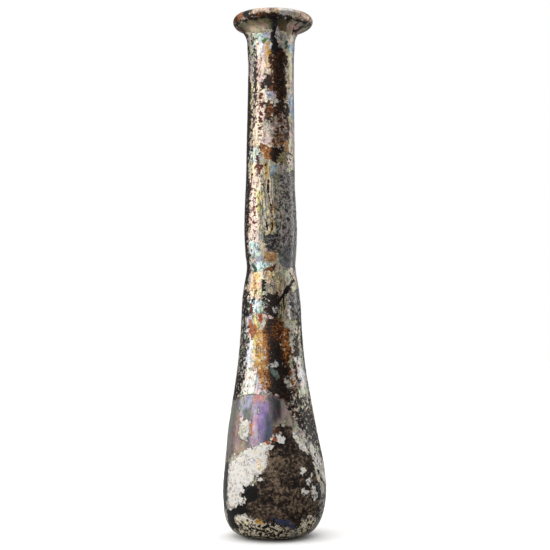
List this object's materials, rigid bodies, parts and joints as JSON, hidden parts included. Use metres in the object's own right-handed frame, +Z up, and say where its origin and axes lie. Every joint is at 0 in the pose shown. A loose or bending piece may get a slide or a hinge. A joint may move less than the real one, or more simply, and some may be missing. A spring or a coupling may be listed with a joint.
{
  "type": "glass unguentarium",
  "caption": "Small blown-glass scent flask with a pear-shaped body, a pinched waist, a long tubular neck and a splayed, folded rim, under a weathered crust.",
  "frame": {"origin": "centre of the outline on the plane that the foot stands on", "axes": "+Z up along the neck to the mouth, -Y towards the side with the brown crust, +X to its right"},
  "size_m": [0.0274, 0.0274, 0.1394],
  "materials": {
    "weathered_glass": "iridescent weathered crust with brown enamel-like patches, pits and bare greyish glass"
  },
  "bodies": {
    "root": {"glass_vessel": "weathered_glass"}
  },
  "joints": []
}
